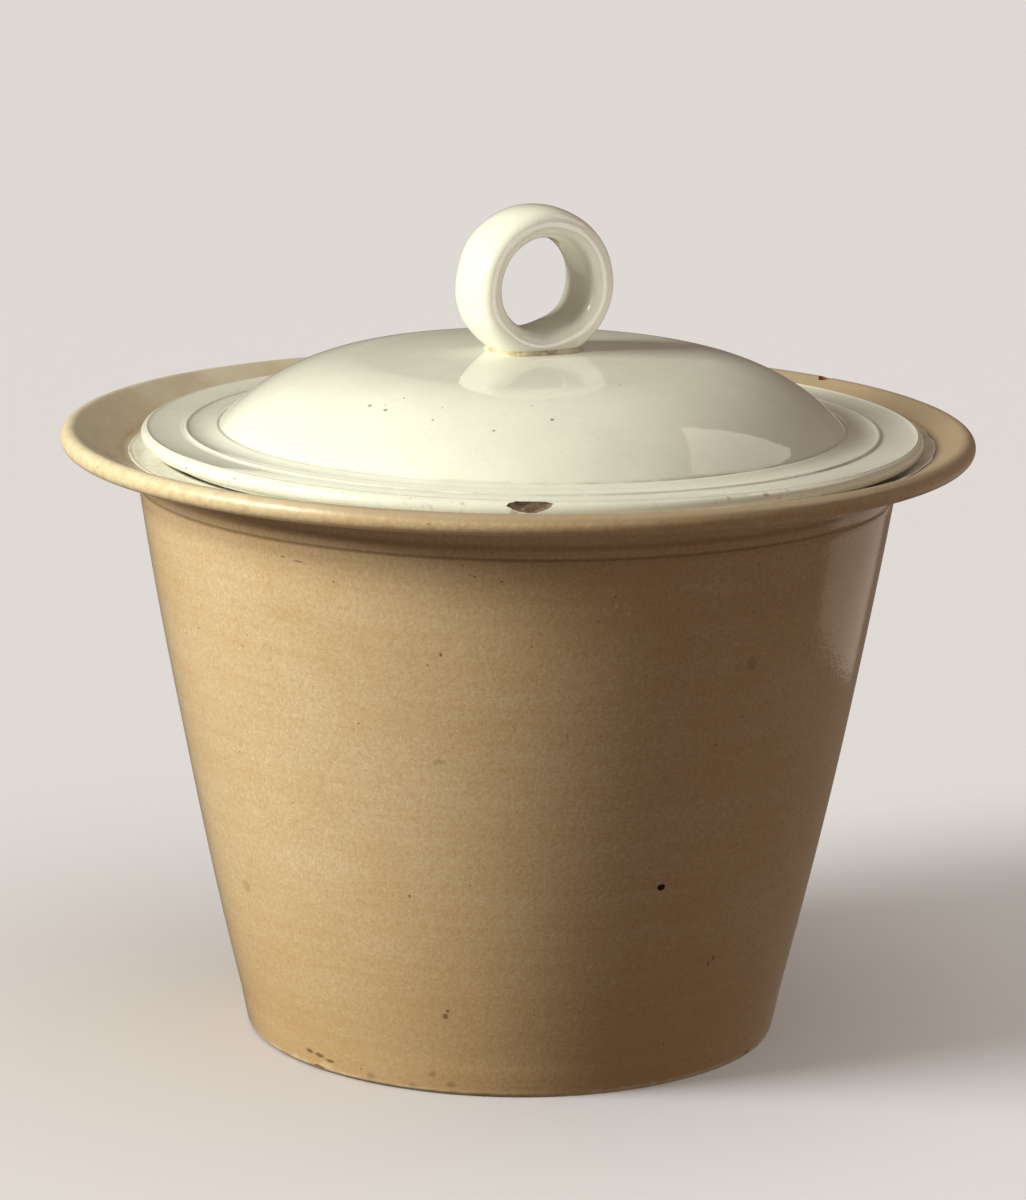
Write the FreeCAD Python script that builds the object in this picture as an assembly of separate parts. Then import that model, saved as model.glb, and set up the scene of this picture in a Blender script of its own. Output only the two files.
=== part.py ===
import FreeCAD, Part
import math
import os

# Lidded ceramic pan: a tapered pot of cane-coloured earthenware with a wide rolled rim and a white
# lining, and a loose domed lid of white ware with a ring handle.
#
# Frame: millimetres, +Z up, origin on the pot's axis in the plane that its foot stands on.
# The eye of the ring handle runs along Y.

# ---- pot ----
RIM_RADIUS = 152.5            # outermost point of the rolled lip
POT_HEIGHT = 205.8            # foot to the top of the lip
FOOT_RADIUS = 90.0
FOOT_EDGE = 1.6               # rounding of the foot's outer edge
FOOT_BAND = 12.0              # height of the steeper band above the foot
FOOT_FLARE = 2.1              # how far the band leans out
FOOT_RING_WIDTH = 11.0        # width of the ring the pot stands on
FOOT_RECESS = 2.5             # depth of the hollow inside the foot ring
FOOT_RECESS_BEVEL = 2.0
WALL = 9.0
WALL_BULGE = 1.9              # how far the wall's curve stands outside its chord
BASE = 9.0                    # underside of the foot to the inner floor
FLOOR_CORNER = 22.0           # curve between the inner wall and the floor
FLANGE_WIDTH = 25.3           # wall's top to the outermost point of the lip
LIP_RADIUS = 3.4              # the roll along the edge of the flange
COVE_HEIGHT = 9.0             # underside of the lip down to the top of the wall
COVE_WIDTH = 7.2              # width of the curve between the wall and the flange
COVE_RISE = 7.0               # height of that curve
LIP_TURN = 115.0              # degrees up and over from level where the lip gives way to the dish
LEDGE_DROP = 8.0              # top of the lip down to the ledge the lid sits on
LEDGE_WIDTH = 13.0            # throat to the foot of the dish
DISH_CORNER = 1.2             # length of the fillet between the dish and the ledge, each way
THROAT_EDGE = 1.5             # rounding where the ledge turns down into the throat
WALL_LINE_DROP = 3.4          # incised line below the top of the wall

# ---- white lining ----
LINING = 0.6                  # slip and glaze together
LINING_RISE = 1.3             # how far the white comes up the dish, in height above the ledge

# ---- lid ----
LID_PLAY = 5.3                # gap all round between the lid's locating ring and the throat
LID_REST_X = 4.2              # how far off centre the loose lid lies, inside that gap
LID_REST_Y = -2.2
SEAT_GAP = 0.3                # lid's seat above the ledge
SEAT_CLEARANCE = 1.4          # seat to the foot of the dish when the lid is pushed right over
SEAT_EDGE = 0.8
SEAT_DEPTH = 7.6              # lid's brim top down to its seat
BRIM_OVERHANG = 6.3           # brim's edge outside the seat
BRIM_EDGE = 2.5               # half the thickness of the brim's rounded edge
BRIM_DISH = 0.45              # hollow of the brim between its edge and the ridge
RIDGE_INSET = 15.0            # ridge inside the brim's edge
RIDGE_HEIGHT = 0.5
RIDGE_WIDTH = 1.4
COVE_DIP = 0.9                # hollow between the ridge and the foot of the dome
LOCATING_WIDTH = 8.7          # thickness of the locating ring
LOCATING_DEPTH = 8.0          # how far it reaches below the seat
LOCATING_EDGE = 2.5
DOME_INSET = 8.2              # foot of the dome inside the locating ring's outer wall
DOME_FOOT_RISE = 0.8          # foot of the dome above the brim's top
DOME_HEIGHT = 25.3            # foot of the dome to the crown
CAP_SHARE = 0.577             # part of the dome's radius that the flat cap takes up
CAP_DROP = 2.6                # fall of that cap from the crown
DOME_WALL = 7.0

# ---- ring handle ----
RING_RADIUS = 26.0            # outside of the ring
RING_THICKNESS = 10.6         # measured from the eye outwards
RING_WIDTH = 24.0             # measured along the eye
RING_SINK = 3.8               # how far the ring is pressed into the crown
LUTING_SPREAD = 2.5           # bead of slip beyond the ring's contact, all round
LUTING_HEIGHT = 1.6

# ---- incised lines ----
LINE_RADIUS = 0.7
LINE_DEPTH = 0.35

# ---- worked out ----
WALL_TOP_RADIUS = RIM_RADIUS - FLANGE_WIDTH
WALL_TOP = POT_HEIGHT - 2 * LIP_RADIUS - COVE_HEIGHT
WALL_FOOT_RADIUS = FOOT_RADIUS + FOOT_FLARE
THROAT_RADIUS = WALL_TOP_RADIUS - WALL
LEDGE = POT_HEIGHT - LEDGE_DROP
DISH_FOOT_RADIUS = THROAT_RADIUS + LEDGE_WIDTH
SEAT = LEDGE + SEAT_GAP
SEAT_RADIUS = DISH_FOOT_RADIUS - LID_PLAY - SEAT_CLEARANCE
BRIM_RADIUS = SEAT_RADIUS + BRIM_OVERHANG
BRIM_TOP = SEAT + SEAT_DEPTH
LOCATING_RADIUS = THROAT_RADIUS - LID_PLAY
DOME_FOOT_RADIUS = LOCATING_RADIUS - DOME_INSET
DOME_FOOT = BRIM_TOP + DOME_FOOT_RISE
CROWN = DOME_FOOT + DOME_HEIGHT
RING_CENTRE = CROWN + RING_RADIUS - RING_SINK
LID_AXIS = FreeCAD.Vector(LID_REST_X, LID_REST_Y, 0)
UP = FreeCAD.Vector(0, 0, 1)


def at(point):
    """Point of an outline: (distance from the axis, height)."""
    return FreeCAD.Vector(point[0], 0, point[1])


def polar(centre, radius, degrees):
    angle = math.radians(degrees)
    return (centre[0] + radius * math.cos(angle), centre[1] + radius * math.sin(angle))


def leaving(start, heading, end):
    """Steps of an arc that leaves start along heading, in degrees, and ends at end."""
    across = end[0] - start[0]
    rise = end[1] - start[1]
    chord = math.hypot(across, rise)
    half_turn = (math.atan2(rise, across) - math.radians(heading)) / 2
    direction = math.radians(heading) + half_turn
    reach = chord / 2 / math.cos(half_turn)
    via = (start[0] + reach * math.cos(direction), start[1] + reach * math.sin(direction))
    return (via, end)


def turned(start, steps):
    """Solid turned about Z from a closed outline: a step is an end point, or (via, end) for an arc."""
    edges = []
    here = start
    for step in list(steps) + [start]:
        if isinstance(step[0], tuple):
            via, end = step
            edges.append(Part.Arc(at(here), at(via), at(end)).toShape())
        else:
            end = step
            edges.append(Part.LineSegment(at(here), at(end)).toShape())
        here = end
    face = Part.Face(Part.Wire(edges))
    return face.revolve(FreeCAD.Vector(0, 0, 0), UP, 360)


def round_line(radius, height):
    """Ring-shaped cutter that leaves a line LINE_DEPTH deep in a turned surface."""
    return Part.makeTorus(radius + LINE_RADIUS - LINE_DEPTH, LINE_RADIUS, at((0, height)), UP)


def wall_curve():
    """Centre and radius of the arc that the outside of the wall follows."""
    low = at((WALL_FOOT_RADIUS, FOOT_BAND))
    high = at((WALL_TOP_RADIUS, WALL_TOP))
    middle = (low + high) * 0.5
    outward = (high - low).cross(FreeCAD.Vector(0, 1, 0))
    outward.normalize()
    if outward.x < 0:
        outward = outward * -1
    half_chord = (high - low).Length / 2
    radius = (half_chord ** 2 + WALL_BULGE ** 2) / (2 * WALL_BULGE)
    centre = middle - outward * (radius - WALL_BULGE)
    return (centre.x, centre.z), radius


def wall_radius(height):
    centre, radius = wall_curve()
    return centre[0] + math.sqrt(radius ** 2 - (height - centre[1]) ** 2)


def lip_point(degrees):
    """Point on the round lip, measured up and over from its outermost point."""
    return polar((RIM_RADIUS - LIP_RADIUS, POT_HEIGHT - LIP_RADIUS), LIP_RADIUS, degrees)


def dish_slope():
    """Degrees that the flange's top falls from the lip to the ledge."""
    top = lip_point(LIP_TURN)
    return math.degrees(math.atan2(top[1] - LEDGE, top[0] - DISH_FOOT_RADIUS))


def white_edge():
    """Where the bare flange meets the white lining."""
    return (DISH_FOOT_RADIUS + LINING_RISE / math.tan(math.radians(dish_slope())), LEDGE + LINING_RISE)


def inside(skin):
    """Inside of the pot from the edge of the white to the middle of the floor, skin deep."""
    slope = dish_slope()
    ledge = LEDGE - skin
    throat = THROAT_RADIUS + skin
    floor = BASE - skin
    edge = polar(white_edge(), skin, slope - 90)
    corner = (edge[0] - (edge[1] - ledge) / math.tan(math.radians(slope)), ledge)
    dish_end = polar(corner, DISH_CORNER, slope)
    ledge_start = (corner[0] - DISH_CORNER, ledge)
    ledge_end = (throat + THROAT_EDGE, ledge)
    throat_top = (throat, ledge - THROAT_EDGE)
    corner_top = floor + FLOOR_CORNER
    middle = (corner_top + WALL_TOP) / 2
    wall_end = (wall_radius(corner_top) - WALL + skin, corner_top)
    floor_start = (wall_end[0] - FLOOR_CORNER, floor)
    return [
        edge,
        dish_end,
        leaving(dish_end, slope - 180, ledge_start),
        ledge_end,
        leaving(ledge_end, 180, throat_top),
        (throat, WALL_TOP),
        ((wall_radius(middle) - WALL + skin, middle), wall_end),
        leaving(wall_end, -100, floor_start),
        (0, floor),
    ]


def pot_body():
    """Foot ring, tapered wall and rolled flange in one, cut back where the white lining lies."""
    recess = FOOT_RADIUS - FOOT_RING_WIDTH
    edge_centre = (FOOT_RADIUS - FOOT_EDGE, FOOT_EDGE)
    middle = (FOOT_BAND + WALL_TOP) / 2
    wall_top = (WALL_TOP_RADIUS, WALL_TOP)
    cove_end = (WALL_TOP_RADIUS + COVE_WIDTH, WALL_TOP + COVE_RISE)
    steps = [
        (recess - FOOT_RECESS_BEVEL, FOOT_RECESS),
        (recess, 0),
        (FOOT_RADIUS - FOOT_EDGE, 0),
        (polar(edge_centre, FOOT_EDGE, -45), (FOOT_RADIUS, FOOT_EDGE)),
        (WALL_FOOT_RADIUS, FOOT_BAND),
        ((wall_radius(middle), middle), wall_top),
        leaving(wall_top, 80, cove_end),
        lip_point(-100),
        (lip_point(0), lip_point(LIP_TURN)),
        white_edge(),
    ]
    body = turned((0, FOOT_RECESS), steps + inside(LINING))
    line_height = WALL_TOP - WALL_LINE_DROP
    return body.cut(round_line(wall_radius(line_height), line_height))


def white_lining():
    """Skin of white slip and glaze: floor, wall, throat, ledge and the inner part of the flange."""
    seen = inside(0)
    backing = inside(LINING)
    return turned(seen[0], seen[1:] + back_along(backing))


def back_along(steps):
    """The same run of steps, from its end to its start."""
    ends = [step[1] if isinstance(step[0], tuple) else step for step in steps]
    back = [ends[-1]]
    for i in range(len(steps) - 1, 0, -1):
        if isinstance(steps[i][0], tuple):
            back.append((steps[i][0], ends[i - 1]))
        else:
            back.append(ends[i - 1])
    return back


def dome_arcs(skin):
    """Points of the dome's section, skin deep: crown, cap middle, shoulder, shoulder middle, foot."""
    cap_radius = DOME_FOOT_RADIUS * CAP_SHARE
    shoulder = (cap_radius, CROWN - CAP_DROP)
    foot = (DOME_FOOT_RADIUS, DOME_FOOT)
    cap_curve = (cap_radius ** 2 + CAP_DROP ** 2) / (2 * CAP_DROP)
    lean = math.degrees(math.asin(cap_radius / cap_curve))
    across = foot[0] - shoulder[0]
    rise = foot[1] - shoulder[1]
    turn = math.radians(-lean) - math.atan2(rise, across)
    shoulder_curve = math.hypot(across, rise) / (2 * math.sin(turn))
    cap_centre = (0, CROWN - cap_curve)
    shoulder_centre = polar(shoulder, shoulder_curve, -90 - lean)
    inner = shoulder_curve - skin
    end_radius = DOME_FOOT_RADIUS if skin == 0 else LOCATING_RADIUS - LOCATING_WIDTH
    end_angle = math.degrees(math.acos((end_radius - shoulder_centre[0]) / inner))
    return [
        (0, CROWN - skin),
        polar(cap_centre, cap_curve - skin, 90 - lean / 2),
        polar(cap_centre, cap_curve - skin, 90 - lean),
        polar(shoulder_centre, inner, (90 - lean + end_angle) / 2),
        polar(shoulder_centre, inner, end_angle),
    ]


def lid_cover():
    """Dome, brim, seat and locating ring in one."""
    crown_in, cap_in, shoulder_in, bend_in, foot_in = dome_arcs(DOME_WALL)
    crown, cap, shoulder, bend, foot = dome_arcs(0)
    bottom = SEAT - LOCATING_DEPTH
    inner = LOCATING_RADIUS - LOCATING_WIDTH
    inner_edge = (inner + LOCATING_EDGE, bottom + LOCATING_EDGE)
    outer_edge = (LOCATING_RADIUS - LOCATING_EDGE, bottom + LOCATING_EDGE)
    seat_edge = (SEAT_RADIUS - SEAT_EDGE, SEAT + SEAT_EDGE)
    rim = (BRIM_RADIUS - BRIM_EDGE, BRIM_TOP - BRIM_EDGE)
    ridge_out = (BRIM_RADIUS - RIDGE_INSET + RIDGE_WIDTH, BRIM_TOP - BRIM_DISH)
    ridge_top = (BRIM_RADIUS - RIDGE_INSET, ridge_out[1] + RIDGE_HEIGHT)
    dish_middle = ((rim[0] + ridge_out[0]) / 2, BRIM_TOP - BRIM_DISH)
    cove_middle = ((ridge_top[0] + foot[0]) / 2, BRIM_TOP - COVE_DIP)
    steps = [
        (cap_in, shoulder_in),
        (bend_in, foot_in),
        (inner, bottom + LOCATING_EDGE),
        (polar(inner_edge, LOCATING_EDGE, 225), (inner_edge[0], bottom)),
        (outer_edge[0], bottom),
        (polar(outer_edge, LOCATING_EDGE, -45), (LOCATING_RADIUS, outer_edge[1])),
        (LOCATING_RADIUS, SEAT),
        (seat_edge[0], SEAT),
        (polar(seat_edge, SEAT_EDGE, -45), (SEAT_RADIUS, seat_edge[1])),
        (SEAT_RADIUS, BRIM_TOP - 2 * BRIM_EDGE),
        (rim[0], BRIM_TOP - 2 * BRIM_EDGE),
        ((BRIM_RADIUS, rim[1]), (rim[0], BRIM_TOP)),
        (dish_middle, ridge_out),
        ridge_top,
        (cove_middle, foot),
        (bend, shoulder),
        (cap, crown),
    ]
    cover = turned(crown_in, steps)
    return cover.cut(round_line(DOME_FOOT_RADIUS, DOME_FOOT))


def whole_ring():
    """The ring before it is pressed into the crown: an oval section turned about its eye."""
    centre = FreeCAD.Vector(0, 0, RING_CENTRE)
    middle = RING_RADIUS - RING_THICKNESS / 2
    section_centre = centre + FreeCAD.Vector(middle, 0, 0)
    long_end = section_centre + FreeCAD.Vector(0, RING_WIDTH / 2, 0)
    short_end = section_centre + FreeCAD.Vector(RING_THICKNESS / 2, 0, 0)
    section = Part.Ellipse(long_end, short_end, section_centre).toShape()
    return Part.Face(Part.Wire([section])).revolve(centre, FreeCAD.Vector(0, 1, 0), 360)


def luting_bead(ring, cover):
    """Bead of slip in the corner between the ring and the crown: a low oval button, less both."""
    contact = math.sqrt(RING_RADIUS ** 2 - (RING_RADIUS - RING_SINK) ** 2)
    reach_x = contact + LUTING_SPREAD
    reach_y = RING_WIDTH / 2 + LUTING_SPREAD
    button = Part.makeSphere(1.0)
    squash = FreeCAD.Matrix()
    squash.scale(reach_x, reach_y, LUTING_HEIGHT)
    squash.move(FreeCAD.Vector(0, 0, CROWN))
    bead = button.transformGeometry(squash).cut(ring).cut(cover)
    return max(bead.Solids, key=lambda solid: solid.Volume)


def export(name, shape):
    shape.exportStep(os.path.join("parts", name + ".step"))


def main():
    os.makedirs("parts", exist_ok=True)
    export("pot_body", pot_body())
    export("white_lining", white_lining())
    cover = lid_cover()
    ring = whole_ring().cut(cover)
    bead = luting_bead(ring, cover)
    for name, shape in (("lid_cover", cover), ("ring_handle", ring), ("handle_luting", bead)):
        export(name, shape.translated(LID_AXIS))


main()
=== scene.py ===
import math

import bmesh
import bpy
from mathutils import Matrix, Quaternion, Vector, noise


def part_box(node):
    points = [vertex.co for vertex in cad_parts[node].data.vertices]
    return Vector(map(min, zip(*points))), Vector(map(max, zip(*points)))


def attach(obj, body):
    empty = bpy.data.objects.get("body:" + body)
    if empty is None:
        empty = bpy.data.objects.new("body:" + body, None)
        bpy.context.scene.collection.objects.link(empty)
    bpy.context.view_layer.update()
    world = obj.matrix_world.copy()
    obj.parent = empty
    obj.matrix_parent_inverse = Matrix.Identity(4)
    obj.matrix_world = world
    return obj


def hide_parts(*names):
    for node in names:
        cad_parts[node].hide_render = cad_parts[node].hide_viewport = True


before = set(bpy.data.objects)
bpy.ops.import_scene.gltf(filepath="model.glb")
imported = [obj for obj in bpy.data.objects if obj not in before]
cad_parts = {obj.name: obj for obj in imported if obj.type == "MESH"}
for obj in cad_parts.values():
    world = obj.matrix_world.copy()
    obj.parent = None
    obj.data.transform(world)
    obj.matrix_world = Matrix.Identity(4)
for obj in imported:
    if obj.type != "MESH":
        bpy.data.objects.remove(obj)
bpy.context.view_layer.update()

# A lidded pan: a tapered pot of cane-coloured earthenware with a rolled rim and a white slip lining,
# and a loose domed lid of white ware with a ring handle. Outlines below are in millimetres, as
# (distance from the turning axis, height).

MM = 0.001

# ---- places, from the frame ----
POT_LOW, POT_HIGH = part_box("pot_body")
LID_LOW, LID_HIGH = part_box("lid_cover")
RING_LOW, RING_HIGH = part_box("ring_handle")
POT_HEIGHT = POT_HIGH.z / MM
RIM_RADIUS = (POT_HIGH.y - POT_LOW.y) / 2 / MM
LID_AXIS = Vector(((LID_LOW.x + LID_HIGH.x) / 2 / MM, (LID_LOW.y + LID_HIGH.y) / 2 / MM, 0))
BRIM_RADIUS = (LID_HIGH.y - LID_LOW.y) / 2 / MM
CROWN = LID_HIGH.z / MM
RING_RADIUS = (RING_HIGH.x - RING_LOW.x) / 2 / MM
RING_WIDTH = (RING_HIGH.y - RING_LOW.y) / MM
RING_CENTRE = Vector((LID_AXIS.x, LID_AXIS.y, RING_HIGH.z / MM - RING_RADIUS))

# ---- pot sizes ----
FOOT_RADIUS = 90.0
FOOT_BAND = 12.0
WALL_FOOT_RADIUS = FOOT_RADIUS + 2.1
WALL_TOP_RADIUS = RIM_RADIUS - 25.3
WALL_TOP = POT_HEIGHT - 15.8
WALL_BULGE = 1.9
WALL_LINE = WALL_TOP - 3.4    # height of the incised line
LEDGE = POT_HEIGHT - 8.0
THROAT_RADIUS = WALL_TOP_RADIUS - 9.0
DISH_FOOT = THROAT_RADIUS + 13.0
BASE = 9.0
LINING = 0.6
CORNER_RADIUS = 87.5           # where the inner wall bends to the floor
CORNER_HEIGHT = 31.0
FLOOR_RADIUS = 65.6            # where that bend meets the floor
SLIP_RADIUS = 134.4            # edge of the slip, about the lid's axis
POT_WANDER = (0.4, 80, 3)      # how far the hand-thrown wall wanders, over what span, and its seed
LID_WANDER = (0.25, 60, 11)

# ---- lid sizes ----
SEAT = LEDGE + 0.3
BRIM_TOP = SEAT + 7.6
DOME_FOOT_RADIUS = BRIM_RADIUS - 26.1
DOME_FOOT = BRIM_TOP + 0.8
BRIM_LINE_RADIUS = BRIM_RADIUS - 14.3
LOCATING_RADIUS = THROAT_RADIUS - 5.3

# ---- ring handle and the bead of slip that holds it ----
RING_THICKNESS = 10.6
RING_SQUARENESS = 0.8          # 1 is a round section, less is squarer
BEAD_SQUARENESS = 3.2          # 2 is a round footprint, more is squarer
BEAD_NARROWING = 0.88          # its breadth across the ring, against its length

# ---- heading of the front: the side that the camera looks at, in degrees from -Y ----
FRONT = -27.3

# ---- camera, in metres from the middle of the foot, and degrees ----
CAMERA_DISTANCE = 1.555659
CAMERA_HEIGHT = 0.494066
CAMERA_TARGET = Vector((-0.00079, 0.00041, 0.145746))
CAMERA_ROLL = 0.81
CAMERA_LENS = 141.8            # millimetres, on a frame 36 mm long


# ------------------------------------------------------------------ shaping

def arc(start, end, rise, grain):
    """Points after start on an arc to end that stands rise to the left of the straight line."""
    (x0, y0), (x1, y1) = start, end
    chord = math.hypot(x1 - x0, y1 - y0)
    if abs(rise) < 1e-6:
        count = max(1, round(chord / grain))
        return [(x0 + (x1 - x0) * i / count, y0 + (y1 - y0) * i / count) for i in range(1, count + 1)]
    radius = (chord ** 2 / 4 + rise ** 2) / (2 * abs(rise))
    turn = 4 * math.atan2(2 * abs(rise), chord)
    count = max(3, round(radius * turn / grain), round(math.degrees(turn) / 9))
    side = math.copysign(1, rise)
    nx, ny = -(y1 - y0) / chord * side, (x1 - x0) / chord * side
    cx = (x0 + x1) / 2 - nx * (radius - abs(rise))
    cy = (y0 + y1) / 2 - ny * (radius - abs(rise))
    first = math.atan2(y0 - cy, x0 - cx)
    return [
        (cx + radius * math.cos(first - side * turn * i / count),
         cy + radius * math.sin(first - side * turn * i / count))
        for i in range(1, count + 1)
    ]


def outline(start, stretches, grain=1.6):
    """Section drawn from start, one stretch after the other.

    Each stretch is (radius, height, rise of its arc, spacing of its points); the last two may be left out.
    """
    points = [start]
    for stretch in stretches:
        rise = stretch[2] if len(stretch) > 2 else 0.0
        spacing = stretch[3] if len(stretch) > 3 else grain
        points += arc(points[-1], stretch[:2], rise, spacing)
    return points


def turn_on_wheel(points, steps):
    """Closed mesh turned about Z from a section: an eighth of a turn is spun, then doubled three times."""
    bm = bmesh.new()
    section = [bm.verts.new((radius, 0, height)) for radius, height in points]
    for low, high in zip(section, section[1:]):
        bm.edges.new((low, high))
    if points[0][0] > 0:
        bm.edges.new((section[-1], section[0]))
    eighth = math.tau / 8
    bmesh.ops.spin(bm, geom=bm.verts[:] + bm.edges[:], cent=(0, 0, 0), axis=(0, 0, 1),
                   angle=eighth, steps=steps // 8, use_merge=False)
    for share in (1, 2, 4):
        copy = bmesh.ops.duplicate(bm, geom=bm.verts[:] + bm.edges[:] + bm.faces[:])["geom"]
        bmesh.ops.rotate(bm, verts=[item for item in copy if isinstance(item, bmesh.types.BMVert)],
                         cent=(0, 0, 0), matrix=Matrix.Rotation(eighth * share, 3, "Z"))
    bmesh.ops.remove_doubles(bm, verts=bm.verts, dist=1e-3)
    # a stretch that lies on the axis turns into a bare edge
    bmesh.ops.delete(bm, geom=[edge for edge in bm.edges if not edge.link_faces], context="EDGES")
    bmesh.ops.recalc_face_normals(bm, faces=bm.faces)
    return bm


def around(angle, radius, height, axis=Vector((0, 0, 0))):
    """Point at an angle to the right of the front, in millimetres."""
    heading = math.radians(FRONT + angle)
    return axis + Vector((math.sin(heading) * radius, -math.cos(heading) * radius, height))


def wander(bm, amount, span, seed):
    """Hand-thrown clay: the wall wanders in and out a little, slowly over a span."""
    still = 20.0
    for v in bm.verts:
        out = Vector((v.co.x, v.co.y, 0))
        if out.length > still:
            v.co += out.normalized() * amount * noise.noise(v.co / span + Vector((seed, 0, 0)))


def finish_piece(bm, name, body, node, material, place=Vector((0, 0, 0))):
    """Millimetres to metres, at its place, smooth, on its body, in its material."""
    bmesh.ops.translate(bm, verts=bm.verts, vec=place)
    bmesh.ops.scale(bm, verts=bm.verts, vec=(MM, MM, MM))
    for face in bm.faces:
        face.smooth = True
    mesh = bpy.data.meshes.new(name)
    bm.to_mesh(mesh)
    bm.free()
    piece = bpy.data.objects.new(name, mesh)
    bpy.context.scene.collection.objects.link(piece)
    mesh.materials.append(material)
    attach(piece, body)
    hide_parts(node)
    return piece


def knock_out(piece, pebbles):
    """Rough pebbles cut out of a piece.

    Each is (angle, place, half length, half depth, half height, flare towards the top, material of the cut).
    """
    mesh = bpy.data.meshes.new("pebbles")
    bm = bmesh.new()
    for number, (angle, place, length, depth, height, flare, material) in enumerate(pebbles):
        pebble = bmesh.ops.create_icosphere(bm, subdivisions=4, radius=1.0)["verts"]
        for v in pebble:
            # lumpy at two scales, and wider towards the top by the flare
            v.co *= 1 + 0.16 * noise.noise(v.co * 1.7 + Vector((number * 7.3, 0, 0)))
            v.co *= 1 + 0.07 * noise.noise(v.co * 5.0 + Vector((0, number * 3.1, 0)))
            v.co.x *= 1 + flare * (v.co.z + 0.13)
        bmesh.ops.scale(bm, verts=pebble, vec=(length, depth, height))
        bmesh.ops.rotate(bm, verts=pebble, cent=(0, 0, 0),
                         matrix=Matrix.Rotation(math.radians(FRONT + angle), 3, "Z"))
        bmesh.ops.translate(bm, verts=pebble, vec=place)
        if material.name not in mesh.materials:
            mesh.materials.append(material)
        for face in {face for v in pebble for face in v.link_faces}:
            face.material_index = mesh.materials.find(material.name)
    bmesh.ops.scale(bm, verts=bm.verts, vec=(MM, MM, MM))
    bm.to_mesh(mesh)
    bm.free()
    cutter = bpy.data.objects.new("pebbles", mesh)
    bpy.context.scene.collection.objects.link(cutter)
    cut = piece.modifiers.new("chips", "BOOLEAN")
    cut.operation = "DIFFERENCE"
    cut.solver = "EXACT"
    cut.material_mode = "TRANSFER"
    cut.object = cutter
    whole = piece.data
    # a cut now and then leaves nothing; the careful way is slower, and if it fails too the piece stays whole
    for careful in (False, True):
        cut.use_self = careful
        depsgraph = bpy.context.evaluated_depsgraph_get()
        chipped = bpy.data.meshes.new_from_object(piece.evaluated_get(depsgraph))
        if len(chipped.polygons) > len(whole.polygons) / 2:
            break
    else:
        chipped = whole.copy()
    piece.modifiers.clear()
    piece.data = chipped
    bpy.data.meshes.remove(whole)
    bpy.data.objects.remove(cutter)
    bpy.data.meshes.remove(mesh)
    chipped.name = piece.name
    bm = bmesh.new()
    bm.from_mesh(chipped)
    bmesh.ops.dissolve_degenerate(bm, edges=bm.edges, dist=0.0002 * MM)
    for edge in bm.edges:
        if len({face.material_index for face in edge.link_faces}) > 1:
            edge.smooth = False
    bm.to_mesh(chipped)
    bm.free()


# ------------------------------------------------------------------ pieces

def shape_pot():
    """From the middle of the foot out, up the wall, over the rolled rim and down inside under the slip."""
    recess = FOOT_RADIUS - 11.0
    lip = RIM_RADIUS - 3.4
    lip_height = POT_HEIGHT - 3.4
    points = outline((0, 2.5), [
        (recess - 2.0, 2.5, 0, 8.0),
        (recess, 0.4, 0.3),
        (recess + 0.8, 0.0, -0.1),
        (FOOT_RADIUS - 1.8, 0.0, 0, 3.0),
        (FOOT_RADIUS, 1.8, -0.5),
        (WALL_FOOT_RADIUS, FOOT_BAND, -0.1),
        (WALL_TOP_RADIUS - 0.75, WALL_LINE - 0.35, -WALL_BULGE, 2.8),
        (WALL_TOP_RADIUS - 0.95, WALL_LINE, 0, 0.3),
        (WALL_TOP_RADIUS - 0.55, WALL_LINE + 0.35, 0, 0.3),
        (WALL_TOP_RADIUS, WALL_TOP, 0.05, 0.8),
        (WALL_TOP_RADIUS + 7.2, WALL_TOP + 7.0, 2.1, 0.6),
        (lip - 0.6, lip_height - 3.35, 0.0, 1.0),
        (lip - 1.4, lip_height + 3.1, -4.42, 0.5),
        (DISH_FOOT + 1.1, LEDGE + 0.2, 0.0, 1.2),
        (DISH_FOOT - 1.1, LEDGE - 0.4, 0.15),
        (THROAT_RADIUS + 2.1, LEDGE - 0.6),
        (THROAT_RADIUS + 0.6, LEDGE - 2.1, 0.4),
        (THROAT_RADIUS + 0.6, WALL_TOP, 0, 6.0),
        (CORNER_RADIUS + LINING, CORNER_HEIGHT - LINING, 1.6, 8.0),
        (FLOOR_RADIUS + 0.5, BASE - LINING, 5.6, 4.0),
        (0, BASE - LINING, 0, 8.0),
    ])
    bm = turn_on_wheel(points, 360)
    wander(bm, *POT_WANDER)
    return bm


def dish_height(radius):
    """Height of the pot's own ledge and dish at a radius: a straight rise from the dish's foot to the lip."""
    slope = (POT_HEIGHT - 0.3 - LEDGE - 0.2) / (RIM_RADIUS - 4.8 - DISH_FOOT - 1.1)
    rise = 0.2 + slope * (radius - DISH_FOOT - 1.1)
    return LEDGE + max(-0.45, rise)


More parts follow.
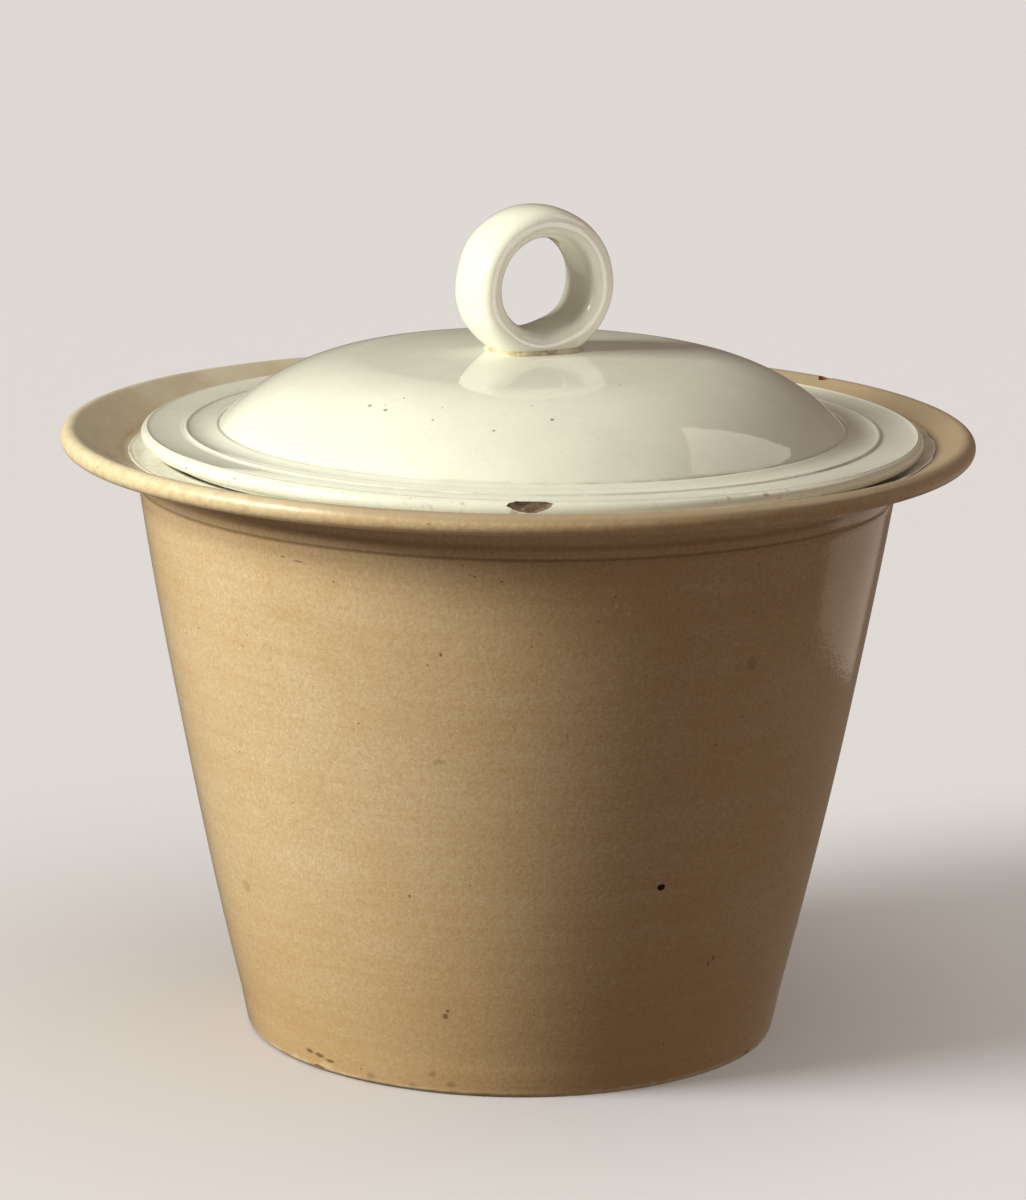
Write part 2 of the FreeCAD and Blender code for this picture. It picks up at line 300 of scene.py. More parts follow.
def shape_lining():
    """Thin skin of slip over the inside; its edge is centred on the lid's axis, not on the pot's."""
    points = outline((DISH_FOOT + 2.8, LEDGE + 1.3), [
        (DISH_FOOT + 2.4, LEDGE + 1.45, 0.05, 0.3),
        (DISH_FOOT + 1.1, LEDGE + 0.6, 0.0, 0.6),
        (DISH_FOOT - 1.1, LEDGE, 0.15),
        (THROAT_RADIUS + 1.5, LEDGE),
        (THROAT_RADIUS, LEDGE - 1.5, 0.4),
        (THROAT_RADIUS, WALL_TOP),
        (CORNER_RADIUS, CORNER_HEIGHT, 1.6, 3.0),
        (FLOOR_RADIUS, BASE, 5.6, 2.0),
        (0, BASE, 0, 3.0),
        (0, BASE - 0.3),
        (FLOOR_RADIUS + 0.4, BASE - 0.3, 0, 9.0),
        (CORNER_RADIUS + 0.3, CORNER_HEIGHT - 0.3, -5.6, 5.0),
        (THROAT_RADIUS + 0.3, WALL_TOP, -1.6, 10.0),
        (THROAT_RADIUS + 0.3, LEDGE - 1.7, 0, 3.0),
        (THROAT_RADIUS + 1.7, LEDGE - 0.3, -0.4),
        (DISH_FOOT - 1.1, LEDGE - 0.3),
        (DISH_FOOT + 1.1, LEDGE + 0.3, -0.15),
    ])
    bm = turn_on_wheel(points, 288)
    loose = THROAT_RADIUS + 3
    for v in bm.verts:
        radius = math.hypot(v.co.x, v.co.y)
        if radius > loose:
            out = Vector((v.co.x, v.co.y, 0)).normalized()
            across = LID_AXIS.dot(out)
            edge = across + math.sqrt(SLIP_RADIUS ** 2 - LID_AXIS.length_squared + across ** 2)
            # uneven where the slip ran and was wiped
            edge += 1.4 * noise.noise(out * 3.0) + 0.7 * noise.noise(out * 15.0)
            moved = loose + (radius - loose) * (edge - loose) / (DISH_FOOT + 2.8 - loose)
            v.co = out * moved + Vector((0, 0, v.co.z + dish_height(moved) - dish_height(radius)))
    wander(bm, *POT_WANDER)
    return bm


def shape_lid():
    """From the crown down the dome and the brim, round its edge, and up the hollow underneath."""
    inner = LOCATING_RADIUS - 8.7
    bottom = SEAT - 8.0
    seat = BRIM_RADIUS - 6.3
    points = outline((0, CROWN), [
        (60.0, CROWN - 2.6, 0.65),
        (DOME_FOOT_RADIUS - 0.5, DOME_FOOT + 0.35, 4.2),
        (DOME_FOOT_RADIUS, DOME_FOOT - 0.35, 0, 0.3),
        (DOME_FOOT_RADIUS + 0.5, DOME_FOOT - 0.1, 0, 0.3),
        (BRIM_RADIUS - 15.8, BRIM_TOP - 0.3, -0.95, 0.8),
        (BRIM_RADIUS - 14.5, BRIM_TOP - 0.4, 0.35, 0.3),
        (BRIM_LINE_RADIUS, BRIM_TOP - 0.65, 0, 0.3),
        (BRIM_RADIUS - 2.3, BRIM_TOP - 0.05, -0.3),
        (BRIM_RADIUS - 1.9, BRIM_TOP - 0.15, 0.1, 0.2),
        (BRIM_RADIUS - 2.0, BRIM_TOP - 5.0, 1.95, 0.5),
        (seat + 0.8, BRIM_TOP - 5.0, 0, 1.0),
        (seat, BRIM_TOP - 5.4, -0.1, 0.4),
        (seat, SEAT + 0.8),
        (seat - 0.8, SEAT, 0.2, 0.4),
        (LOCATING_RADIUS, SEAT),
        (LOCATING_RADIUS, bottom + 2.5),
        (LOCATING_RADIUS - 2.5, bottom, 0.73),
        (inner + 2.5, bottom),
        (inner, bottom + 2.5, 0.73),
        (inner, SEAT - 2.2),
        (59.6, CROWN - 9.6, -4.5, 2.5),
        (0, CROWN - 7.0, -0.64, 4.0),
    ])
    bm = turn_on_wheel(points, 360)
    wander(bm, *LID_WANDER)
    return bm


def shape_ring():
    """A squarish roll of clay bent round, flattened where it stands on the dome."""
    half = RING_THICKNESS / 2
    bm = bmesh.new()
    bmesh.ops.create_circle(bm, segments=56, radius=1.0)
    for v in bm.verts:
        v.co.x = math.copysign(abs(v.co.x) ** RING_SQUARENESS, v.co.x) * half + RING_RADIUS - half
        v.co.y = math.copysign(abs(v.co.y) ** RING_SQUARENESS, v.co.y) * RING_WIDTH / 2
    bmesh.ops.spin(bm, geom=bm.verts[:] + bm.edges[:], cent=(0, 0, 0), axis=(0, 1, 0),
                   angle=math.tau, steps=160, use_merge=True)
    bmesh.ops.remove_doubles(bm, verts=bm.verts, dist=1e-4)
    floor = CROWN - 0.8 - RING_CENTRE.z
    bmesh.ops.bisect_plane(bm, geom=bm.verts[:] + bm.edges[:] + bm.faces[:], plane_co=(0, 0, floor),
                           plane_no=(0, 0, -1), clear_outer=True)
    bmesh.ops.contextual_create(bm, geom=[e for e in bm.edges if e.is_boundary])
    for v in bm.verts:
        # the bottom of the eye is filled on one side, and the roll swells low down on the other
        fill = math.exp(-((v.co.x - 5) ** 2 + (v.co.z + 15) ** 2) / 45)
        swell = math.exp(-((v.co.x + 22) ** 2 + (v.co.z + 12) ** 2) / 90)
        v.co.z += 1.5 * fill
        v.co.x -= 0.9 * swell
        v.co += v.co.normalized() * 0.25 * noise.noise(v.co / 11)
    bmesh.ops.recalc_face_normals(bm, faces=bm.faces)
    return bm


def shape_luting():
    """Low bead of slip round the foot of the ring, about the lid's axis, from the crown's height."""
    points = outline((12.2, -1.2), [
        (15.6, -0.6, 0, 0.6),
        (15.7, -0.3, 0.05, 0.3),
        (12.9, 1.3, -0.5, 0.3),
        (12.2, 1.5, 0, 0.4),
        (12.2, -1.2, 0, 0.8),
    ])
    bm = turn_on_wheel(points[:-1], 128)
    for v in bm.verts:
        # the bead follows the ring's squarish footprint
        reach = math.hypot(v.co.x, v.co.y)
        along = abs(v.co.x / reach) ** BEAD_SQUARENESS
        across = abs(v.co.y / reach) ** BEAD_SQUARENESS
        square = (along + across) ** (-1 / BEAD_SQUARENESS)
        v.co.x *= square
        v.co.y *= square * BEAD_NARROWING
    return bm


# ------------------------------------------------------------------ finishes

EASED = {"interpolation_type": "SMOOTHSTEP"}
COLOURS = {"data_type": "RGBA"}
TIMES = {"operation": "MULTIPLY"}
LESS = {"operation": "SUBTRACT"}
LARGER = {"operation": "MAXIMUM"}


def linear(code):
    """Linear colour of an sRGB hex value."""
    channels = [int(code[i:i + 2], 16) / 255 for i in (1, 3, 5)]
    return [c / 12.92 if c <= 0.04045 else ((c + 0.055) / 1.055) ** 2.4 for c in channels] + [1.0]


def per(size):
    """Scale of a pattern whose features are this many millimetres apart."""
    return 1 / (size * MM)


def add(tree, kind, inputs, output=0, **settings):
    """A node with its settings and links; gives one of its output sockets.

    The inputs are a list in the node's own order, or a dict by name. Each is a socket to link, a hex colour
    or a plain value.
    """
    node = tree.nodes.new("ShaderNode" + kind)
    for name, value in settings.items():
        setattr(node, name, value)
    if not isinstance(inputs, dict):
        inputs = dict(zip([number for number, socket in enumerate(node.inputs) if socket.enabled], inputs))
    for key, value in inputs.items():
        if isinstance(value, bpy.types.NodeSocket):
            tree.links.new(value, node.inputs[key])
        else:
            node.inputs[key].default_value = linear(value) if isinstance(value, str) else value
    return node.outputs[output] if isinstance(output, str) else [s for s in node.outputs if s.enabled][output]


def new_material(name, colour, roughness, ior=1.5):
    material = bpy.data.materials.new(name)
    material.use_nodes = True
    shader = material.node_tree.nodes["Principled BSDF"]
    shader.inputs["Base Color"].default_value = linear(colour)
    shader.inputs["Roughness"].default_value = roughness
    shader.inputs["IOR"].default_value = ior
    return material, material.node_tree, shader


def place_of(tree, axis=Vector((0, 0, 0))):
    """Coordinates on the piece about an axis, distance from that axis, and height, in metres."""
    raw = add(tree, "TexCoord", {}, "Object")
    where = add(tree, "Mapping", {"Vector": raw, "Location": axis * -MM})
    flat = add(tree, "VectorMath", [where, (1, 1, 0)], **TIMES)
    radius = add(tree, "VectorMath", [flat], operation="LENGTH")
    return where, radius, add(tree, "SeparateXYZ", [where], "Z")


def glaze_layers(tree, colour, layers):
    """Colours laid over a colour, one after the other.

    Each is (pattern, low, high, amount, colour); it comes in as the pattern goes from low to high.
    """
    for pattern, low, high, amount, over in layers:
        mask = add(tree, "MapRange", [pattern, low, high, 0.0, amount], **EASED)
        colour = add(tree, "Mix", [mask, colour, over], **COLOURS)
    return colour


def stains(tree, colour, masks):
    """Colours laid over a colour through masks: each is (mask, amount, colour)."""
    for mask, amount, over in masks:
        share = add(tree, "Math", [mask, amount], **TIMES)
        colour = add(tree, "Mix", [share, colour, over], **COLOURS)
    return colour


def turned_line(tree, distance, place, reach, core, amount):
    """Mask of a line around the piece at a place, a radius or a height in millimetres."""
    off = add(tree, "Math", [distance, place * MM], **LESS)
    near = add(tree, "Math", [off], operation="ABSOLUTE")
    return add(tree, "MapRange", [near, reach * MM, core * MM, 0.0, amount], **EASED)


def marks(tree, where, places):
    """Mask of small marks with ragged edges: each is (point, half size, squash of its height)."""
    mask = None
    for point, size, squash in places:
        offset = add(tree, "VectorMath", [where, point * MM], **LESS)
        flat = add(tree, "VectorMath", [offset, (1, 1, squash)], **TIMES)
        far = add(tree, "VectorMath", [flat], operation="LENGTH")
        spot = add(tree, "MapRange", [far, size * MM * 0.95, size * MM * 0.35], **EASED)
        mask = spot if mask is None else add(tree, "Math", [mask, spot], **LARGER)
    return mask


def ragged(tree, where, amount, size):
    """Coordinates pushed about by an amount in millimetres, so that marks get ragged edges."""
    push = add(tree, "TexNoise", [where, per(size), 2.0], "Color")
    centred = add(tree, "VectorMath", [push, (0.5, 0.5, 0.5)], **LESS)
    scaled = add(tree, "VectorMath", [centred, 2 * amount * MM], operation="SCALE")
    return add(tree, "VectorMath", [where, scaled], operation="ADD")


def iron_specks(tree, where, spacing, size):
    """Mask of sparse burnt-out iron specks in the clay, at most this many millimetres across."""
    distance = add(tree, "TexVoronoi", [where, per(spacing)])
    cell = distance.node.outputs["Color"]
    pick = add(tree, "SeparateColor", [cell])
    reach = add(tree, "MapRange", [pick, 0.45, 1.0, 0.0, size / spacing / 2], **EASED)
    inside = add(tree, "Math", [reach, distance], **LESS)
    return add(tree, "MapRange", [inside, 0.0, 0.02], **EASED)


def on_wall(angle, height):
    """Point on the outside of the pot's wall, which is nearly a cone."""
    share = (height - FOOT_BAND) / (WALL_TOP - FOOT_BAND)
    bulge = WALL_BULGE * 4 * share * (1 - share)
    radius = WALL_FOOT_RADIUS + (WALL_TOP_RADIUS - WALL_FOOT_RADIUS) * share + bulge
    if height < FOOT_BAND:
        radius = FOOT_RADIUS + (WALL_FOOT_RADIUS - FOOT_RADIUS) * height / FOOT_BAND
    return around(angle, radius, height)


# Cane ware: buff clay under a clear lead glaze. The glaze gives a soft, slightly pitted gloss; the clay
# under it shows fine mottling, faint turning lines and dark iron specks.
def cane_glaze():
    material, tree, shader = new_material("cane_glaze", "#CDAF70", 0.14)
    where, radius, height = place_of(tree)
    level = add(tree, "Mapping", {"Vector": where, "Scale": (0.05, 0.05, 1)})
    clouds = add(tree, "TexNoise", [where, per(42), 4.0, 0.6])
    mottle = add(tree, "TexNoise", [where, per(1.7), 3.0, 0.7])
    grain = add(tree, "TexNoise", [where, per(0.9), 2.0, 0.7])
    turning = add(tree, "TexNoise", [level, per(3.4), 5.0, 0.7])
    colour = glaze_layers(tree, "#E1CAAA", [
        (clouds, 0.3, 0.7, 1.0, "#DABF9A"),
        (mottle, 0.35, 0.75, 0.40, "#C09566"),
        (grain, 0.25, 0.75, 0.42, "#B08760"),
        (turning, 0.35, 0.7, 0.22, "#BE9462"),
        # browner towards the foot
        (height, 75 * MM, 0.0, 0.35, "#B4884F"),
    ])

    # the flange top: greyer, and paler where it is rubbed; paler still towards the left, where the key light
    # falls, which is painted light together with dust
    slope = 0.3
    fall = add(tree, "Math", [radius, slope], **TIMES)
    lift = add(tree, "Math", [height, fall], **LESS)
    top = (LEDGE + 1.0 - slope * (DISH_FOOT + 2)) * MM
    upper = add(tree, "MapRange", [lift, top - 1.4 * MM, top], **EASED)
    flange = add(tree, "MapRange", [radius, (WALL_TOP_RADIUS - 3) * MM, (WALL_TOP_RADIUS + 1) * MM], **EASED)
    worn = add(tree, "Math", [upper, flange], **TIMES)
    left = add(tree, "VectorMath", [where, around(-100, 1, 0)], operation="DOT_PRODUCT")
    # painted light: the flange gets paler towards the left, where the key light falls, along with some dust
    lit_side_and_dust = add(tree, "MapRange", [left, 0.0, 130 * MM, 0.2, 1.0], **EASED)
    patchy = add(tree, "TexNoise", [where, per(16), 3.0, 0.6])
    lit_rubbed_tint = glaze_layers(tree, "#CFC0A8", [(patchy, 0.3, 0.7, 1.0, "#DCD0BC")])
    # the grey tint, then the pale tint laid on towards the left as painted light with dust
    colour = stains(tree, colour, [(worn, 0.85, "#957C62"), (worn, lit_side_and_dust, lit_rubbed_tint)])

    # the rolled lip is rubbed in patches down to the clay, and is paler towards the left, where the key light
    # glints on it, which is a painted highlight along with pale wear
    edge = add(tree, "MapRange", [radius, (RIM_RADIUS - 4.5) * MM, (RIM_RADIUS - 1.0) * MM], **EASED)
    scuffs = add(tree, "TexNoise", [where, per(3.5), 5.0, 0.75])
    patches = add(tree, "MapRange", [scuffs, 0.42, 0.66, 0.0, 0.5], **EASED)
    # painted highlight with pale wear: the lip gets paler towards the left, where the key light glints on it
    lip_highlight_and_wear = add(tree, "Math", [lit_side_and_dust, 0.8], **TIMES)
    colour = stains(tree, colour, [(edge, lip_highlight_and_wear, "#E6D5B4"), (edge, patches, "#C29B72")])

    # glaze stands darker in the incised line; the darkening in the angle under the flange is painted shade
    groove = turned_line(tree, height, WALL_LINE, 0.9, 0.2, 0.4)
    # painted shade in the angle under the flange's overhang
    painted_shade_under_flange = turned_line(tree, height, WALL_TOP + 0.4, 1.8, 0.1, 0.3)
    skin = WALL_TOP_RADIUS - 3
    outside = add(tree, "MapRange", [radius, (skin - 1.5) * MM, skin * MM], **EASED)
    # the incised line together with the painted shade under the flange
    lines = add(tree, "Math", [groove, painted_shade_under_flange], **LARGER)
    colour = stains(tree, colour, [(lines, outside, "#6B4B2C")])

    # iron and kiln marks
    rough_place = ragged(tree, where, 0.35, 1.3)
    dark = marks(tree, rough_place, [
        (on_wall(-11.0, 154.5), 0.8, 1), (on_wall(-12.5, 28.5), 1.3, 0.7), (on_wall(-12.0, 30.4), 0.9, 1),
        (on_wall(-18.0, 70.5), 0.7, 1), (on_wall(-5.8, 181.0), 0.8, 2), (on_wall(-2.0, 179.6), 0.7, 1.6),
        (on_wall(-7.6, 184.5), 0.6, 1), (on_wall(-6.6, 181.5), 0.5, 2), (on_wall(40.8, 41.5), 0.8, 0.6),
        (on_wall(41.8, 43.4), 0.8, 0.6), (on_wall(-35.8, 181.5), 1.6, 5), (on_wall(-33.0, 180.7), 2.6, 7),
        (on_wall(-46.5, 6.0), 2.6, 2.2), (on_wall(-43.6, 5.6), 3.2, 3.0), (on_wall(-40.6, 4.6), 2.8, 3.0),
        (on_wall(118, 96), 1.1, 1), (on_wall(-128, 140), 0.9, 1), (on_wall(160, 52), 1.2, 0.8),
    ])
    rust = marks(tree, ragged(tree, where, 1.1, 4), [
        (on_wall(-30, 3.0), 2.6, 1.5), (on_wall(-20.2, 1.8), 3.0, 2.0), (on_wall(-11.8, 3.5), 2.0, 1.5),
        (on_wall(-16, 7.0), 1.6, 1.0), (around(-72, 139.5, 201.5), 3.4, 1), (around(-75, 143, 203), 2.2, 1),
        (around(-66, 137, 200), 2.4, 1), (on_wall(75, 4.0), 2.6, 1.8), (on_wall(-150, 3.0), 3.4, 2.0),
    ])
    cloudy = marks(tree, ragged(tree, where, 1.2, 3.5), [
        (on_wall(38.8, 147), 3.6, 1), (on_wall(-12, 118), 3.0, 2.5), (on_wall(-58, 60), 4.0, 1.4),
    ])
    pimples = marks(tree, rough_place, [
        (on_wall(14.8, 171), 1.1, 0.7), (on_wall(16.8, 168.5), 1.2, 0.9),
    ])
    pale = marks(tree, ragged(tree, where, 0.8, 2.5), [
        (on_wall(-42, 2.6), 4.2, 2.6), (on_wall(-52, 1.5), 2.5, 2),
    ])
    # the foot's outer edge is rubbed pale where it stands and slides
    foot = add(tree, "MapRange", [height, 2.0 * MM, 1.0 * MM, 0.0, 0.7], **EASED)
    scraped = add(tree, "TexNoise", [where, per(8), 4.0, 0.7])
    rubbed_foot = add(tree, "MapRange", [scraped, 0.35, 0.6], **EASED)
    colour = stains(tree, colour, [
        (iron_specks(tree, rough_place, 4.6, 0.8), 0.75, "#5B3B22"),
        (dark, 0.7, "#5A3A24"),
        (rust, 0.42, "#8A5A34"),
        (cloudy, 0.28, "#6E5A44"),
        (pimples, 0.5, "#E2CDA0"),
        (pale, 0.4, "#E4D2AA"),
        (foot, rubbed_foot, "#E8D8B8"),
    ])
    tree.links.new(colour, shader.inputs["Base Color"])

    wear = add(tree, "Math", [worn, edge], **LARGER)
    dullness = add(tree, "Math", [mottle, 0.25], **TIMES)
    dull = add(tree, "Math", [wear, dullness], operation="ADD")
    gloss = add(tree, "MapRange", [dull, 0.0, 1.3, 0.08, 0.36], **EASED)
    tree.links.new(gloss, shader.inputs["Roughness"])

    # orange peel, turning ribs, pits where the glaze is worn, and the two pimples, one on the other
    peel = add(tree, "TexNoise", [where, per(1.8), 3.0, 0.6])
    pits = add(tree, "TexNoise", [where, per(3.2), 5.0, 0.7])
    pitting = add(tree, "Math", [wear, 0.22], **TIMES)
    relief = add(tree, "Bump", {"Height": peel, "Distance": 0.5 * MM, "Strength": 0.14})
    for shape, depth, strength in ((turning, 0.4, 0.05), (pits, 0.6, pitting), (pimples, 0.3, 0.6)):
        relief = add(tree, "Bump", {"Height": shape, "Distance": depth * MM, "Strength": strength,
                                    "Normal": relief})
    tree.links.new(relief, shader.inputs["Normal"])
    return material


# White slip: fine white clay poured over the inside under the same glaze, slightly dirty near its edge.
def slip_glaze():
    material, tree, shader = new_material("slip_glaze", "#E6E0CB", 0.16)
    where, radius, height = place_of(tree)
    clouds = add(tree, "TexNoise", [where, per(30), 4.0, 0.6])
    mottle = add(tree, "TexNoise", [where, per(1.4), 3.0, 0.7])
    blots = add(tree, "TexNoise", [where, per(7), 4.0, 0.7])
    colour = glaze_layers(tree, "#FBF8F0", [
        (clouds, 0.3, 0.7, 1.0, "#F2ECDD"),
        (mottle, 0.3, 0.75, 0.15, "#B7A88A"),
    ])
    dirt = add(tree, "MapRange", [blots, 0.45, 0.7], **EASED)
    ledge = add(tree, "MapRange", [radius, (THROAT_RADIUS + 1) * MM, DISH_FOOT * MM, 0.0, 0.45], **EASED)
    colour = stains(tree, colour, [(dirt, ledge, "#A88A62")])
    # a yellower tone low down
    colour = glaze_layers(tree, colour, [(height, 50 * MM, 0.0, 0.35, "#C4B08A")])
    colour = stains(tree, colour, [(iron_specks(tree, where, 9, 0.9), 0.7, "#6A5238")])
    tree.links.new(colour, shader.inputs["Base Color"])
    peel = add(tree, "TexNoise", [where, per(3.0), 3.0, 0.5])
    relief = add(tree, "Bump", {"Height": peel, "Distance": 0.4 * MM, "Strength": 0.1})
    tree.links.new(relief, shader.inputs["Normal"])
    return material


# White ware: hard white earthenware under a thin clear glaze with a trace of green. It gives a clean,
# nearly mirror-like gloss; edges are rubbed and stained brown where the glaze has gone.
def white_ware():
    material, tree, shader = new_material("white_ware_glaze", "#EEEFE2", 0.07)
    where, radius, height = place_of(tree, LID_AXIS)
    clouds = add(tree, "TexNoise", [where, per(34), 3.0, 0.6])
    mottle = add(tree, "TexNoise", [where, per(1.5), 3.0, 0.7])
    colour = glaze_layers(tree, "#F1F0E8", [
        (clouds, 0.3, 0.7, 1.0, "#E8E8DF"),
        (mottle, 0.4, 0.8, 0.16, "#C3C1AC"),
    ])

    # glaze and dirt stand in the two turned lines
    foot_line = turned_line(tree, radius, DOME_FOOT_RADIUS, 0.8, 0.1, 0.3)
    brim_line = turned_line(tree, radius, BRIM_LINE_RADIUS, 0.7, 0.1, 0.3)
    lines = add(tree, "Math", [foot_line, brim_line], **LARGER)
    above = add(tree, "MapRange", [height, (BRIM_TOP - 2.5) * MM, (BRIM_TOP - 1.5) * MM], **EASED)
    gaps = add(tree, "TexNoise", [where, per(14), 4.0, 0.6])
    broken = add(tree, "MapRange", [gaps, 0.3, 0.6], **EASED)
    colour = stains(tree, colour, [(add(tree, "Math", [lines, above], **TIMES), broken, "#8F8B76")])

    # rubbed and stained edge of the brim, and bare clay under it
    edge = add(tree, "MapRange", [radius, (BRIM_RADIUS - 2.2) * MM, (BRIM_RADIUS - 0.6) * MM], **EASED)
    scuffs = add(tree, "TexNoise", [where, per(4.0), 5.0, 0.75])
    stained = add(tree, "MapRange", [scuffs, 0.56, 0.68, 0.0, 0.55], **EASED)
    under = add(tree, "MapRange", [height, (SEAT + 1.5) * MM, (SEAT - 0.5) * MM, 0.0, 0.5], **EASED)
    patchy = add(tree, "TexNoise", [where, per(11), 4.0, 0.7])
    bare = add(tree, "MapRange", [patchy, 0.4, 0.7], **EASED)
    rough_place = ragged(tree, where, 0.3, 1.1)
    dark = marks(tree, rough_place, [
        (around(-40.0, 81.5, 222.9), 1.0, 1), (around(-35.0, 82.4, 222.5), 1.1, 1.4),
        (around(-36.3, 80, 223.3), 0.6, 1), (around(-22.2, 84.5, 221.5), 0.6, 1),
        (around(-21.8, 78.0, 224.3), 0.5, 1), (around(-33.5, 75, 225.5), 0.5, 1),
        (around(-43.2, 98.0, 212.0), 0.7, 1), (around(4.2, 82, 222.7), 0.9, 0.8),
        (around(-8.2, 87.5, 219.8), 0.7, 1), (around(28, 60, 229.3), 0.5, 1),
        (around(96, 70, 227), 0.8, 1), (around(170, 84, 221.7), 0.9, 1), (around(-120, 66, 228), 0.7, 1),
    ])
    # places where the brim's edge is worn: (angle, depth below its top, half size, squash)
    worn = marks(tree, ragged(tree, where, 0.9, 2.4), [
        (around(angle, BRIM_RADIUS, BRIM_TOP - depth), size, squash)
        for angle, depth, size, squash in (
            (28, 0.6, 1.7, 1.6), (31, 0.4, 1.4, 2), (34, 0.8, 2.0, 2), (38, 0.4, 1.8, 1.6),
            (24, 0.3, 1.2, 2), (-58, 2.6, 1.0, 1), (-46, 1.2, 0.8, 1), (140, 1, 2.4, 2))
    ])
    colour = stains(tree, colour, [
        (edge, stained, "#A58C6E"),
        (under, bare, "#BFAE8E"),
        (iron_specks(tree, rough_place, 11, 0.8), 0.7, "#6F5A44"),
        (dark, 0.75, "#54453A"),
        (worn, 0.7, "#94785C"),
    ])
    tree.links.new(colour, shader.inputs["Base Color"])
    gloss = add(tree, "MapRange", [mottle, 0.3, 0.8, 0.035, 0.08], **EASED)
    tree.links.new(gloss, shader.inputs["Roughness"])
    peel = add(tree, "TexNoise", [where, per(2.4), 2.0, 0.5])
    relief = add(tree, "Bump", {"Height": peel, "Distance": 0.4 * MM, "Strength": 0.035})
    tree.links.new(relief, shader.inputs["Normal"])
    return material


# Joint slip: the liquid clay that holds the ring on, glazed over but stained where the glaze is thin.
def joint_slip():
    material, tree, shader = new_material("joint_slip_glaze", "#D8CFB4", 0.25)
    where = place_of(tree, LID_AXIS)[0]
    blots = add(tree, "TexNoise", [where, per(5), 4.0, 0.7])
    colour = glaze_layers(tree, "#DDD6BE", [(blots, 0.35, 0.65, 1.0, "#A78F6C")])
    tree.links.new(colour, shader.inputs["Base Color"])
    lumps = add(tree, "TexNoise", [where, per(1.2), 3.0, 0.6])
    relief = add(tree, "Bump", {"Height": lumps, "Distance": 0.3 * MM, "Strength": 0.3})
    tree.links.new(relief, shader.inputs["Normal"])
    return material


# Bare clay in a chip: dry, grainy, dirty.
def bare_clay(name, pale, dirty, grit=0.5):
    material, tree, shader = new_material(name, pale, 0.85)
    where = place_of(tree)[0]
    blots = add(tree, "TexNoise", [where, per(2.2), 4.0, 0.7])
    colour = glaze_layers(tree, pale, [(blots, 0.35, 0.65, 1.0, dirty)])
    tree.links.new(colour, shader.inputs["Base Color"])
    grains = add(tree, "TexNoise", [where, per(grit), 3.0, 0.7])
    relief = add(tree, "Bump", {"Height": grains, "Distance": 0.3 * MM, "Strength": 0.6})
    tree.links.new(relief, shader.inputs["Normal"])
    return material


ware_clay = bare_clay("chipped_white_clay", "#7E6857", "#5B483C")
cane_clay = bare_clay("chipped_cane_clay", "#9A6644", "#6E4029")
iron_pit = bare_clay("iron_pit", "#4A3628", "#2A1D15", 0.3)
white_glaze = white_ware()

pot = finish_piece(shape_pot(), "pot", "pot", "pot_body", cane_glaze())
lining = finish_piece(shape_lining(), "lining", "pot", "white_lining", slip_glaze())
lid = finish_piece(shape_lid(), "lid", "lid", "lid_cover", white_glaze, LID_AXIS)
ring = finish_piece(shape_ring(), "ring", "lid", "ring_handle", white_glaze, RING_CENTRE)
luting = finish_piece(shape_luting(), "luting", "lid", "handle_luting", joint_slip(),
                      LID_AXIS + Vector((0, 0, CROWN)))
pieces = [pot, lining, lid, ring, luting]

# a knock on the edge takes a chip that is widest at the top, where it fell
knock_out(lid, [
    (0.3, around(-0.2, BRIM_RADIUS + 0.7, BRIM_TOP - 0.4, LID_AXIS), 8.8, 3.3, 3.1, 0.68, ware_clay),
    (-6.0, around(-6.2, BRIM_RADIUS + 0.1, BRIM_TOP + 0.3, LID_AXIS), 1.2, 0.9, 1.1, 0.3, ware_clay),
])
knock_out(pot, [
    (133, around(133, RIM_RADIUS - 3.6, POT_HEIGHT - 0.1), 2.8, 2.4, 1.6, 0.3, cane_clay),
    (-44, around(-44.4, FOOT_RADIUS + 0.9, 0.8), 4.5, 1.5, 1.1, 0.0, cane_clay),
    (60, around(62, FOOT_RADIUS + 0.9, 0.6), 2.4, 1.4, 1.0, 0.0, cane_clay),
    (27, on_wall(27, 73), 1.5, 0.9, 1.1, 0.0, iron_pit),
])


# ------------------------------------------------------------------ stage

def add_camera():
    heading = math.radians(FRONT)
    place = Vector((math.sin(heading) * CAMERA_DISTANCE, -math.cos(heading) * CAMERA_DISTANCE, CAMERA_HEIGHT))
    data = bpy.data.cameras.new("camera")
    data.lens = CAMERA_LENS
    data.sensor_width = 36.0
    data.clip_end = 50.0
    camera = bpy.data.objects.new("camera", data)
    camera.location = place
    camera.rotation_mode = "QUATERNION"
    turn = (CAMERA_TARGET - place).to_track_quat("-Z", "Y")
    camera.rotation_quaternion = turn @ Quaternion((0, 0, 1), math.radians(CAMERA_ROLL))
    bpy.context.scene.collection.objects.link(camera)
    bpy.context.scene.camera = camera


def add_light(name, kind, azimuth, elevation, distance, aim, receivers):
    """Light aimed at a place from an azimuth to the right of the camera's own, on some objects alone.

    Every object casts its shadow in it. The light itself isn't seen.
    """
    heading = math.radians(FRONT + azimuth)
    lift = math.radians(elevation)
    level = math.cos(lift)
    towards = Vector((math.sin(heading) * level, -math.cos(heading) * level, math.sin(lift)))
    light = bpy.data.objects.new(name, bpy.data.lights.new(name, kind))
    light.location = aim + distance * towards
    light.rotation_mode = "QUATERNION"
    light.rotation_quaternion = (-towards).to_track_quat("-Z", "Y")
    light.visible_camera = False
    bpy.context.scene.collection.objects.link(light)
    group = bpy.data.collections.new(name + "_on")
    for receiver in receivers:
        group.objects.link(receiver)
    light.light_linking.receiver_collection = group
    return light.data


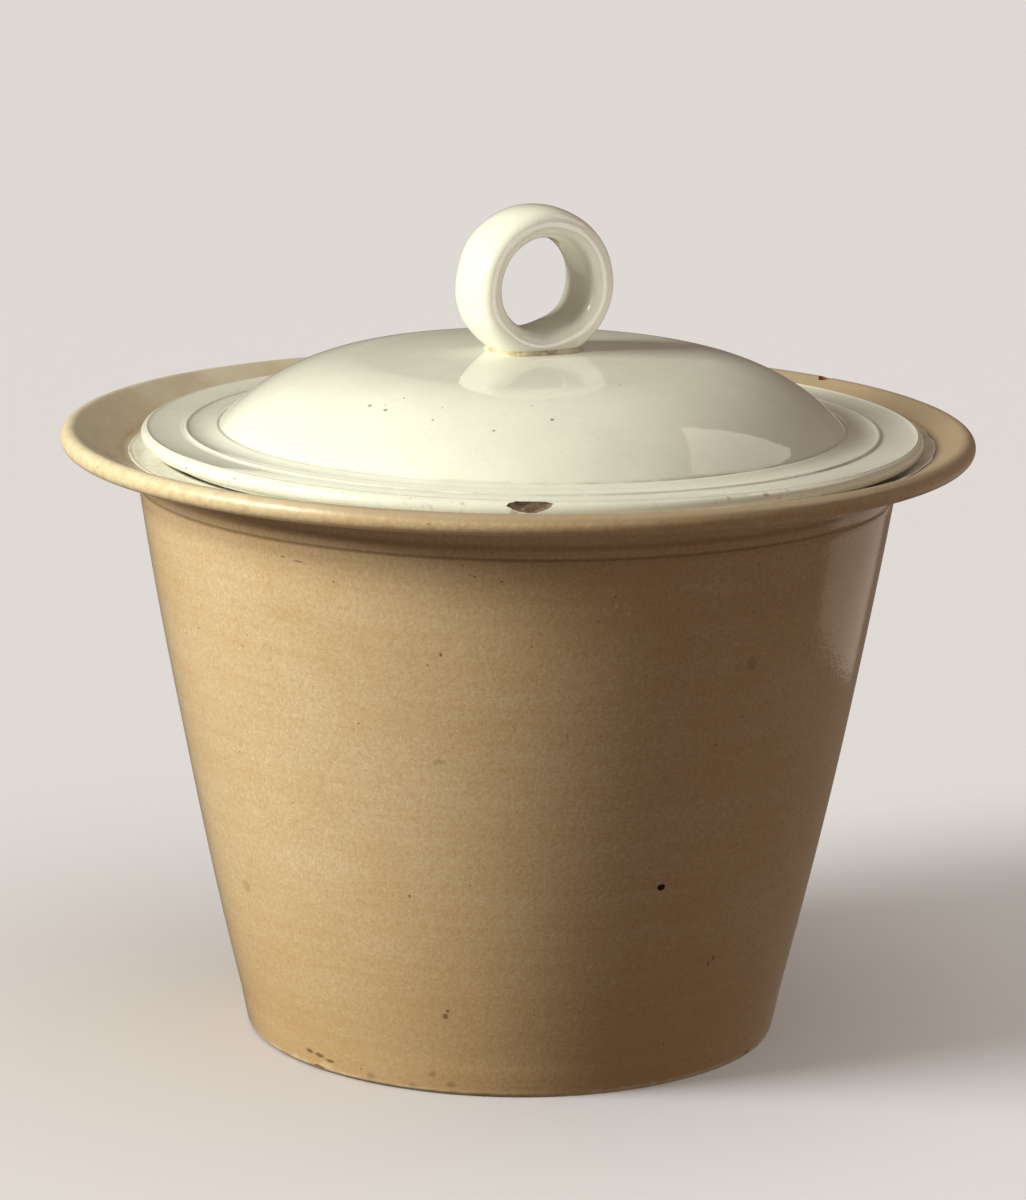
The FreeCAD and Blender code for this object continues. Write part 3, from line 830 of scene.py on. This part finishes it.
def add_floor():
    bm = bmesh.new()
    bmesh.ops.create_grid(bm, x_segments=1, y_segments=1, size=30.0)
    # a hair below the foot, so that the two flat faces don't lie in one plane
    bmesh.ops.translate(bm, verts=bm.verts, vec=(0, 0, -0.2 * MM))
    mesh = bpy.data.meshes.new("floor")
    bm.to_mesh(mesh)
    bm.free()
    floor = bpy.data.objects.new("floor", mesh)
    bpy.context.scene.collection.objects.link(floor)
    mesh.materials.append(new_material("floor_paper", "#DEDCDA", 0.9)[0])
    # the glaze shows the dark room around it, not the floor
    floor.visible_diffuse = False
    floor.visible_glossy = False
    return floor


def add_world():
    world = bpy.data.worlds.new("studio")
    world.use_nodes = True
    sky = world.node_tree.nodes["Background"]
    sky.inputs["Color"].default_value = linear("#FFE5CC")
    sky.inputs["Strength"].default_value = 0.175
    bpy.context.scene.world = world


add_camera()
floor = add_floor()
add_world()

# a key from the left, a window to the right and behind, a low card behind on the right, and a reflector for
# the handle: (name, azimuth, elevation, distance, aim, size, power, colour, what it shines on)
BELLY = Vector((0, 0, 0.13))
for name, azimuth, elevation, distance, aim, size, power, colour, receivers in (
    ("key_light", -68, 28, 2.4, BELLY, (0.9, 0.9), 84, "#FBFFEC", pieces),
    ("window_light", 112, 47, 1.3, BELLY, (0.72, 0.55), 2.1, "#FFF4E6", pieces),
    ("card_light", 120, 0.0, 0.42, Vector((0, 0, 0.065)), (0.30, 0.13), 0.05, "#FFF0E0", pieces),
    ("handle_reflector", 48, -2, 0.8, RING_CENTRE * MM, (0.4, 0.4), 1.9, "#FFF6EC", [ring]),
):
    box = add_light(name, "AREA", azimuth, elevation, distance, aim, receivers)
    box.shape = "RECTANGLE"
    box.size, box.size_y = size
    box.energy = power
    box.color = linear(colour)[:3]

# even light for the floor alone, the same as far as the eye can see:
# (name, azimuth, elevation, strength, softness in degrees)
for name, azimuth, elevation, strength, softness in (
    ("floor_key", -68, 38, 2.3, 24),
    ("floor_fill", 60, 75, 1.3, 70),
):
    sun = add_light(name, "SUN", azimuth, elevation, 0.0, Vector((0, 0, 0)), [floor])
    sun.energy = strength
    sun.angle = math.radians(softness)

bpy.context.scene.view_settings.view_transform = "Standard"
